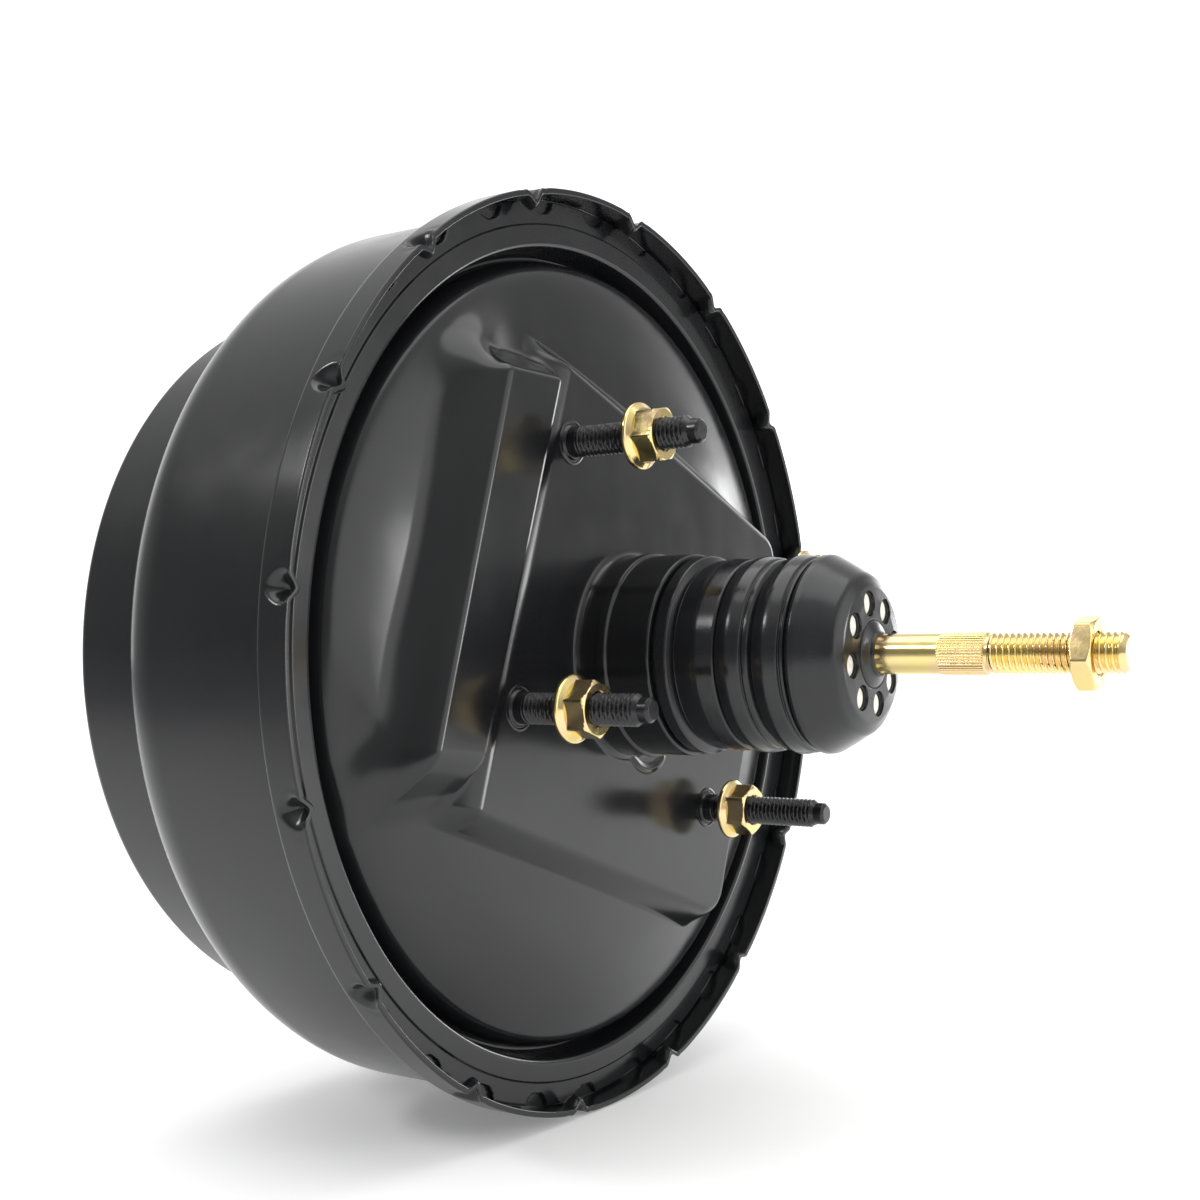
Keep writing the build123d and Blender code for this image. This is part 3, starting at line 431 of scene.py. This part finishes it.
def stud_mesh(x0, x1, tip, direction, cy, cz, name, seg=64):
    """One M8 stud from x0 to x1 with a rolled thread and a dog point."""
    s = direction
    L = abs(x1 - x0)
    prof = profile([(0.0, 0.0), (0.0, 4.4, 0.0), (0.6, 4.4, 0.2), (0.6, 4.0, 0.1), (L - tip - 1.2, 4.0, 0.3), (L - tip, 3.1, 0.3), (L - 0.7, 3.05, 0.3), (L, 2.3, 0.2), (L, 0.0)], closed=False, support=0.1)
    rows = []
    for i in range(len(prof) - 1):
        a, b = prof[i], prof[i + 1]
        k = max(1, int(abs(b[0] - a[0]) / 0.13)) if min(a[1], b[1]) > 3.5 else max(1, int(np.linalg.norm(b - a) / 0.6))
        rows += [a + (b - a) * j / k for j in range(k)]
    rows.append(prof[-1])
    P = np.array(rows)
    t = np.arange(seg) * 2 * math.pi / seg
    X = P[:, 0][:, None] + 0 * t
    R = P[:, 1][:, None] + 0 * t
    T = t[None, :] + 0 * X
    cap = thread_r(X, T, 1.25, 4.0, 3.6, L - tip - 0.2, depth=0.66)
    on = (X > 3.0) & (X < L - tip + 0.4) & (R > 3.2)
    R = np.where(on, np.minimum(R, cap), R)
    V = np.stack([x0 + s * X, cy + R * np.cos(T), cz + R * np.sin(T)], -1).reshape(-1, 3)
    F = grid_faces(len(P), seg, False, True)
    return V, F


def join(parts):
    Vs, Fs, k = [], [], 0
    for V, F in parts:
        if signed_volume(V, F) < 0:
            F = F[:, ::-1]
        Vs.append(V)
        Fs.append(F + k)
        k += len(V)
    return np.concatenate(Vs), np.concatenate(Fs)


def merge_ends(ob):
    bm = bmesh.new()
    bm.from_mesh(ob.data)
    bmesh.ops.remove_doubles(bm, verts=bm.verts, dist=2e-7)
    bm.to_mesh(ob.data)
    bm.free()
    ob.data.set_sharp_from_angle(angle=math.radians(45))


parts = []
swage = profile([(6.6, 3.6, 0.0), (6.6, 5.9, 0.0), (7.25, 5.85, 0.15), (7.45, 5.3, 0.15), (7.15, 5.0, 0.1), (7.25, 4.7, 0.1), (7.9, 4.3, 0.2), (8.0, 3.6, 0.0)], arc_step=15)
for u, v in STUDS:
    y, z = seat_yz(u, v)
    parts.append(stud_mesh(6.6, 46.0, 3.0, 1, y, z, "stud"))
    parts.append(revolved(swage, 64, None, (y, z)))
V, F = join(parts)
studs = to_object("bulkhead_stud_set", V, F, phosphate, sharp=45)
merge_ends(studs)
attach(studs, "housing")
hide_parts("bulkhead_studs")

parts = []
for y in (40.0, -40.0):
    parts.append(stud_mesh(-100.4, -128.0, 1.8, -1, y, 0.0, "stud"))
    parts.append(revolved(np.array([[-101.9, 3.6], [-101.9, 4.6], [-101.5, 5.6], [-100.9, 5.8], [-100.9, 3.6]]), 64, None, (y, 0.0)))
V, F = join(parts)
mstuds = to_object("cylinder_stud_pair", V, F, phosphate, sharp=45)
merge_ends(mstuds)
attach(mstuds, "housing")
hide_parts("master_cylinder_studs")


def hex_r(T, af, turn, soft=0.25):
    t = (T - math.radians(turn) + math.pi / 6) % (math.pi / 3) - math.pi / 6
    r = af / 2 / np.cos(t)
    corner = af / 2 / math.cos(math.pi / 6)
    return smin(r, corner - soft * 0.4 + 0 * r, soft)


def hex_piece(x0, x1, af, turn, bore, centre, chamfer0, chamfer1, flange=None, seg=288):
    """Nut as a closed grid: outside from x0 to x1, then the plain bore back."""
    corner = af / 2 / math.cos(math.pi / 6)
    pts = []
    if flange:
        fr, ft = flange
        pts += [(x0, bore + 0.5), (x0, fr - 0.35), (x0 + 0.12, fr - 0.1), (x0 + 0.35, fr), (x0 + ft - 0.25, fr), (x0 + ft, fr - 0.12), (x0 + ft + 0.15, fr - 0.4)]
        for k in range(7):
            f = k / 6
            pts.append((x0 + ft + 0.15 + 1.0 * f, fr - 0.4 - (fr - 0.4 - corner + 0.4) * f))
        start = len(pts)
        xs = np.linspace(x0 + ft + 1.15, x1, 26)
    else:
        pts += [(x0, bore + 0.5), (x0, af / 2 - 0.4)]
        start = len(pts)
        xs = np.concatenate([np.linspace(x0, x0 + 1.6, 14), np.linspace(x0 + 1.9, x1 - 1.9, 5), np.linspace(x1 - 1.6, x1, 14)])
    for x in xs:
        pts.append((x, corner + 1))
    end = len(pts)
    pts += [(x1, af / 2 - 0.4), (x1, bore + 0.55), (x1 - 0.5, bore + 0.05)]
    nb = max(4, int((x1 - x0 - 1.0) / 0.25))
    for k in range(1, nb):
        pts.append((x1 - 0.5 - (x1 - x0 - 1.0) * k / nb, bore + 0.05))
    pts += [(x0 + 0.5, bore + 0.05)]
    P = np.array(pts)
    t = np.arange(seg) * 2 * math.pi / seg
    X = P[:, 0][:, None] + 0 * t
    R = P[:, 1][:, None] + 0 * t
    T = t[None, :] + 0 * X
    h = hex_r(T, af, turn)
    # chamfers: cones that cut the corners at 30 degrees
    c = np.full_like(X, 99.0)
    if chamfer1:
        c = np.minimum(c, af / 2 - 0.15 + (x1 - X) / math.tan(math.radians(30)))
    if chamfer0:
        c = np.minimum(c, af / 2 - 0.15 + (X - x0) / math.tan(math.radians(30)))
    outside = smin(h, c, 0.12)
    if flange:
        # the hexagon's foot runs into the flange's cone
        for i in range(7, start):
            f = (i - 7) / (start - 7)
            R[i] = np.maximum(outside[i] * 0 + h[i], R[i]) if f < 0.99 else h[i]
    R[start:end] = outside[start:end]
    V = np.stack([X, centre[0] + R * np.cos(T), centre[1] + R * np.sin(T)], -1).reshape(-1, 3)
    return V, grid_faces(len(P), seg, True, True)


parts = []
for (u, v), x, turn in zip(STUDS, NUT_X, NUT_TURN):
    y, z = seat_yz(u, v)
    parts.append(hex_piece(x - 0.8, x + 7.1, 12.8, turn, 4.0, (y, z), False, True, flange=(8.45, 1.2)))
V, F = join(parts)
nuts = to_object("flange_nut_set", V, F, zinc, sharp=30)
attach(nuts, "housing")
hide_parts("bulkhead_nuts")

V, F = hex_piece(129.9, 134.9, 16.0, 43.5, 5.0, (0.0, 0.0), True, True)
locknut = to_object("pushrod_lock_nut", V, F, zinc, sharp=30)
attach(locknut, "rod")
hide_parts("lock_nut")

# ------------------------------------------------------------------- pushrod
prof = profile([
    (-3.7, 0.0), (-3.0, 2.5, 1.5), (1.0, 5.4, 3.6), (4.4, 3.0, 0.6), (10.0, 3.0, 0.8), (12.5, 5.06, 0.5), (36.0, 5.06, 0.2), (36.0, 10.0, 0.4),
    (37.4, 10.0, 0.4), (37.4, 5.06, 0.2), (97.0, 5.06, 0.3), (97.3, 5.12, 0.1), (108.3, 5.12, 0.1), (108.6, 4.6, 0.1), (109.4, 4.6, 0.2), (109.8, 4.95, 0.1), (140.4, 4.95, 0.4),
    (141.8, 3.9, 0.3), (141.8, 0.0),
], closed=False, support=0.15)
rows = []
for i in range(len(prof) - 1):
    a, b = prof[i], prof[i + 1]
    k = max(1, int(abs(b[0] - a[0]) / 0.15)) if a[0] > 96.0 else max(1, int(np.linalg.norm(b - a) / 2.5))
    rows += [a + (b - a) * j / k for j in range(k)]
rows.append(prof[-1])
P = np.array(rows)
seg = 288
t = np.arange(seg) * 2 * math.pi / seg
X = P[:, 0][:, None] + 0 * t
R = P[:, 1][:, None] + 0 * t
T = t[None, :] + 0 * X
knurl = (X > 97.2) & (X < 108.5)
R = np.where(knurl, R + 0.06 - 0.22 * np.abs(np.sin(T * 24)) ** 0.8, R)
cap = thread_r(X, T, 1.5, 4.98, 109.2, 141.4, depth=0.72)
R = np.where((X > 109.6) & (R > 3.5), np.minimum(R, cap), R)
V = np.stack([X, R * np.cos(T), R * np.sin(T)], -1).reshape(-1, 3)
rod = to_object("pushrod_bar", V, grid_faces(len(P), seg, False, True), zinc, sharp=45)
merge_ends(rod)
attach(rod, "rod")
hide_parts("input_rod")

# ---------------------------------------------------------------------- boot
boot_pts = [
    (22.7, 24.8, 0.3), (29.45, 24.8, 0.1), (29.45, 25.4, 0.4), (30.6, 26.1, 0.6), (33.7, 26.1, 0.7), (34.5, 24.4, 0.3), (35.1, 23.3, 0.4),
    (35.6, 24.6, 0.5), (41.0, 25.2, 9.0), (46.5, 24.7, 0.7), (46.9, 23.5, 0.15), (47.3, 24.8, 0.7), (50.2, 25.5, 5.0), (53.6, 24.8, 0.9),
    (54.1, 24.0, 0.2), (54.6, 24.5, 0.4), (55.6, 24.4, 0.5), (57.0, 22.8, 0.3), (57.5, 24.7, 0.7), (60.6, 25.6, 5.0), (64.0, 24.9, 0.9),
    (64.5, 24.1, 0.2), (65.0, 24.5, 0.3), (65.6, 24.3, 0.3), (66.1, 22.9, 0.2), (66.5, 24.7, 0.5), (67.4, 25.35, 0.8), (68.7, 25.05, 1.2),
    (71.5, 23.5, 0.0), (77.2, 20.1, 3.0), (78.7, 17.2, 2.5), (79.0, 13.5, 3.0), (79.0, 8.5, 0.35),
    (77.1, 8.5, 0.3), (77.1, 15.8, 1.0), (73.4, 20.3, 2.0), (69.0, 23.1, 2.0), (67.6, 23.3, 1.0), (66.0, 21.6, 0.5), (64.6, 22.9, 1.0),
    (62.4, 23.2, 0.5), (62.4, 18.7, 0.3), (60.8, 18.7, 0.3), (60.8, 23.2, 0.5), (58.8, 23.2, 1.0), (57.0, 21.4, 0.5), (55.2, 22.6, 0.6),
    (53.0, 23.5, 1.0), (48.6, 23.5, 1.0), (46.9, 22.2, 0.5), (45.4, 23.4, 1.0), (37.0, 23.2, 1.0), (35.1, 21.9, 0.5), (33.4, 23.4, 1.0), (22.7, 23.3, 0.3),
]
P = profile(boot_pts, arc_step=9.0, support=0.2, step=1.2)
V, F = revolved(P, 240)
boot = to_object("bellows_boot", V, F, rubber, sharp=60)

# eight round vents through the cap's end wall
parts = []
for k in range(8):
    a = math.radians(13.1 + 45 * k)
    c = profile([(74.5, 0.0), (74.5, 3.0), (78.2, 3.0), (79.4, 3.4), (81.5, 3.4), (81.5, 0.0)], closed=False)
    tt = np.arange(40) * 2 * math.pi / 40
    Xc = c[:, 0][:, None] + 0 * tt
    Rc = c[:, 1][:, None] + 0 * tt
    Tc = tt[None, :] + 0 * Xc
    parts.append((np.stack([Xc, 12.8 * math.cos(a) + Rc * np.cos(Tc), 12.8 * math.sin(a) + Rc * np.sin(Tc)], -1).reshape(-1, 3), grid_faces(len(c), 40, False, True)))
V, F = join(parts)
cutter = to_object("vent_cutter", V, F, rubber, merge=True)
md = boot.modifiers.new("vents", "BOOLEAN")
md.object = cutter
md.operation = "DIFFERENCE"
md.solver = "EXACT"
bpy.context.view_layer.objects.active = boot
boot.select_set(True)
bpy.ops.object.modifier_apply(modifier="vents")
bpy.data.objects.remove(cutter)
boot.data.shade_smooth()
boot.data.set_sharp_from_angle(angle=math.radians(45))
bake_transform(boot)
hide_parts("boot")

# the boot's soft collar: a thin cone from the cap's hole to the pushrod
t = np.linspace(0, 1, 17)
wt_ = t * t * (3 - 2 * t)
front = np.stack([78.9 + 1.6 * t, 8.42 - 2.8 * wt_], -1)
rear = np.stack([78.9 + 1.6 * t, 7.92 - 2.8 * wt_], -1)
P = np.concatenate([[[78.1, 8.42]], front, [[80.9, 5.62], [81.0, 5.5], [81.0, 5.2], [80.9, 5.12]], rear[::-1], [[78.1, 7.92]]])
V, F = revolved(P, 192)
collar = to_object("boot_collar", V, F, rubber, sharp=60)
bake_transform(collar)

# filter foam pressed against the inside of the vents
parts = []
for k in range(8):
    a = math.radians(13.1 + 45 * k)
    c = profile([(76.5, 0.0), (76.5, 2.85, 0.0), (77.7, 2.85, 0.4), (78.0, 1.2, 0.8), (78.1, 0.0)], closed=False)
    tt = np.arange(28) * 2 * math.pi / 28
    Xc = c[:, 0][:, None] + 0 * tt
    Rc = c[:, 1][:, None] + 0 * tt
    Tc = tt[None, :] + 0 * Xc
    parts.append((np.stack([Xc, 12.8 * math.cos(a) + Rc * np.cos(Tc), 12.8 * math.sin(a) + Rc * np.sin(Tc)], -1).reshape(-1, 3), grid_faces(len(c), 28, False, True)))
V, F = join(parts)
plugs = to_object("filter_foam_pads", V, F, foam, sharp=60)
merge_ends(plugs)
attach(plugs, "piston")

# return spring: conical round-wire coil between the front wall and the piston
turns, seg, ring = 6.0, 48, 14
n = int(turns * seg)
f = np.arange(n + 1) / n
t = f * turns
g = (np.maximum(0.0, t - 0.5) - np.maximum(0.0, t - (turns - 0.5))) / (turns - 1.0)
px, pr, pa = -95.2 + 43.1 * (0.1 * f + 0.9 * g), 29.2 - 5.2 * f, 2 * math.pi * t
path = np.stack([px, pr * np.cos(pa), pr * np.sin(pa)], -1)
tan = np.gradient(path, axis=0)
tan /= np.linalg.norm(tan, axis=1)[:, None]
out_dir = np.stack([0 * pa, np.cos(pa), np.sin(pa)], -1)
out_dir -= (out_dir * tan).sum(1)[:, None] * tan
out_dir /= np.linalg.norm(out_dir, axis=1)[:, None]
side_dir = np.cross(tan, out_dir)
wa = np.arange(ring) * 2 * math.pi / ring
wire = np.array([0.0] + [1.0] * (n + 1) + [0.0])[:, None, None] * 1.59
idx = np.array([0] + list(range(n + 1)) + [n])
V = path[idx][:, None, :] + wire * (np.cos(wa)[None, :, None] * out_dir[idx][:, None, :] + np.sin(wa)[None, :, None] * side_dir[idx][:, None, :])
spring = to_object("return_coil", V.reshape(-1, 3), grid_faces(n + 3, ring, False, True), spring_mat, sharp=60)
merge_ends(spring)
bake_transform(spring)
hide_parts("return_spring")

# ------------------------------------------------------------------- studio
# floor: pale, but its colour falls to dark grey towards the camera's side as painted shade, so the part's lower sides
# reflect a darker room there; it also glows faintly as painted light
fl = bpy.data.meshes.new("floor")
s = 30.0
fl.from_pydata([(-s, -s, -0.1253), (s, -s, -0.1253), (s, s, -0.1253), (-s, s, -0.1253)], [], [(0, 1, 2, 3)])
floor = bpy.data.objects.new("floor", fl)
bpy.context.scene.collection.objects.link(floor)
floor_mat = new_mat("floor_pale", (0.90, 0.90, 0.90), 0.7, base2=(0.92, 0.92, 0.92), rough2=0.8, scale=2.0, spec=0.1)
ft = floor_mat.node_tree
fco = ft.nodes.new("ShaderNodeTexCoord")
fdot = ft.nodes.new("ShaderNodeVectorMath")
fdot.operation = "DOT_PRODUCT"
fdot.inputs[1].default_value = (-0.45, -0.89, 0.0)
ft.links.new(fco.outputs["Object"], fdot.inputs[0])
fmr = ft.nodes.new("ShaderNodeMapRange")
fmr.interpolation_type = "SMOOTHSTEP"
for k, q in zip(("From Min", "From Max", "To Min", "To Max"), (0.08, 0.85, 0.0, 1.0)):
    fmr.inputs[k].default_value = q
ft.links.new(fdot.outputs["Value"], fmr.inputs["Value"])
# painted shade: mix from the pale floor colour to dark grey towards the camera's side
floor_painted_shade_mix = ft.nodes.new("ShaderNodeMix")
floor_painted_shade_mix.data_type = "RGBA"
ft.links.new(fmr.outputs["Result"], floor_painted_shade_mix.inputs["Factor"])
ramp_node = [nd for nd in ft.nodes if nd.bl_idname == "ShaderNodeValToRGB"][0]
ft.links.new(ramp_node.outputs["Color"], floor_painted_shade_mix.inputs[6])
floor_painted_shade_mix.inputs[7].default_value = (0.27, 0.27, 0.28, 1.0)
ft.links.new(floor_painted_shade_mix.outputs[2], ft.nodes["Principled BSDF"].inputs["Base Color"])
# painted light: the floor's colour also glows, at strength 0.2
ft.links.new(floor_painted_shade_mix.outputs[2], ft.nodes["Principled BSDF"].inputs["Emission Color"])
ft.nodes["Principled BSDF"].inputs["Emission Strength"].default_value = 0.20
fl.materials.append(floor_mat)

w = bpy.data.worlds.new("studio")
bpy.context.scene.world = w
w.use_nodes = True
wt = w.node_tree
bg = wt.nodes["Background"]
bg.inputs["Strength"].default_value = 1.0
wc = wt.nodes.new("ShaderNodeTexCoord")


def wnode(op, a, b=None):
    nd = wt.nodes.new("ShaderNodeMath")
    nd.operation = op
    for i, q in enumerate((a, b)):
        if q is None:
            continue
        if isinstance(q, (int, float)):
            nd.inputs[i].default_value = q
        else:
            wt.links.new(q, nd.inputs[i])
    return nd.outputs[0]


def wdot(direction):
    nd = wt.nodes.new("ShaderNodeVectorMath")
    nd.operation = "DOT_PRODUCT"
    wt.links.new(wc.outputs["Generated"], nd.inputs[0])
    nd.inputs[1].default_value = Vector(direction).normalized()
    return nd.outputs["Value"]


def wrange(x, a, b, c, d):
    nd = wt.nodes.new("ShaderNodeMapRange")
    nd.interpolation_type = "SMOOTHSTEP"
    wt.links.new(x, nd.inputs["Value"])
    for k, q in zip(("From Min", "From Max", "To Min", "To Max"), (a, b, c, d)):
        nd.inputs[k].default_value = q
    return nd.outputs["Result"]


# a pale room: bright behind the part and overhead, dim beside it, dimmest where the photographer stands
back = wrange(wdot((-0.54, 0.84, 0.0)), 0.45, 0.86, 0.0, 1.0)
top = wrange(wdot((0, 0, 1)), 0.35, 0.85, 0.0, 1.0)
dark = wrange(wdot((-0.25, -0.96, -0.05)), 0.45, 0.93, 0.0, 1.0)
strip = wrange(wdot((-0.10, 0.99, 0.0)), 0.90, 0.97, 0.0, 1.0)
level = wnode("ADD", 0.41, wnode("ADD", wnode("MULTIPLY", back, 0.9), wnode("MULTIPLY", strip, 1.6)))
side = wrange(wdot((0.95, 0.20, 0.25)), 0.76, 0.95, 0.0, 1.0)
level = wnode("ADD", level, wnode("MULTIPLY", side, 1.3))
level = wnode("SUBTRACT", level, wnode("MULTIPLY", dark, 0.15))
level = wnode("ADD", wnode("MULTIPLY", level, wnode("SUBTRACT", 1.0, top)), wnode("MULTIPLY", top, 0.85))
comb = wt.nodes.new("ShaderNodeCombineColor")
for i in range(3):
    wt.links.new(level, comb.inputs[i])
wt.links.new(comb.outputs["Color"], bg.inputs["Color"])


def area(name, loc, target, size, power, size_y=None):
    d = bpy.data.lights.new(name, "AREA")
    d.shape = "RECTANGLE"
    d.size = size
    d.size_y = size_y or size
    d.energy = power
    ob = bpy.data.objects.new(name, d)
    ob.location = loc
    ob.rotation_mode = "QUATERNION"
    ob.rotation_quaternion = (Vector(target) - Vector(loc)).to_track_quat("-Z", "Y")
    bpy.context.scene.collection.objects.link(ob)
    return ob


sun = bpy.data.lights.new("overhead", "SUN")
sun.energy = 1.2
sun.angle = math.radians(60)
sun_ob = bpy.data.objects.new("overhead", sun)
bpy.context.scene.collection.objects.link(sun_ob)
area("front_box", (-0.56, -0.83, 0.70), (0.03, 0, 0), 0.44, 4, 0.20)
area("side_box", (1.13, 0.64, 0.10), (0.0, 0, 0), 0.32, 3.8, 0.40)
area("far_box", (0.27, 1.27, 0.11), (0.0, 0, 0), 0.24, 1.8, 0.40)
bpy.context.scene.view_settings.view_transform = "Standard"

# -------------------------------------------------------------------- camera
cam_data = bpy.data.cameras.new("camera")
cam = bpy.data.objects.new("camera", cam_data)
bpy.context.scene.collection.objects.link(cam)
bpy.context.scene.camera = cam
R = ((0.8330113928503878, 0.5532550449711942, 0.0009351980425579276), (0.00763753262894068, -0.009809266037159703, -0.9999227202114942), (-0.553203115931932, 0.8329541605116899, -0.012396733822547912))
right, down, ahead = Vector(R[0]), Vector(R[1]), Vector(R[2])
M = Matrix((right, -down, -ahead)).transposed().to_4x4()
M.translation = Vector((241.28738490235003 - SHIFT, -367.8996474181218, -4.104228630119818)) * MM
cam.matrix_world = M
cam_data.sensor_width = 36.0
cam_data.lens = 1590.785258787618 / 1200 * 36.0
cam_data.shift_x = 0.0
cam_data.shift_y = (690.0 - 600.0) / 1200.0
cam_data.clip_start, cam_data.clip_end = 0.01, 60.0
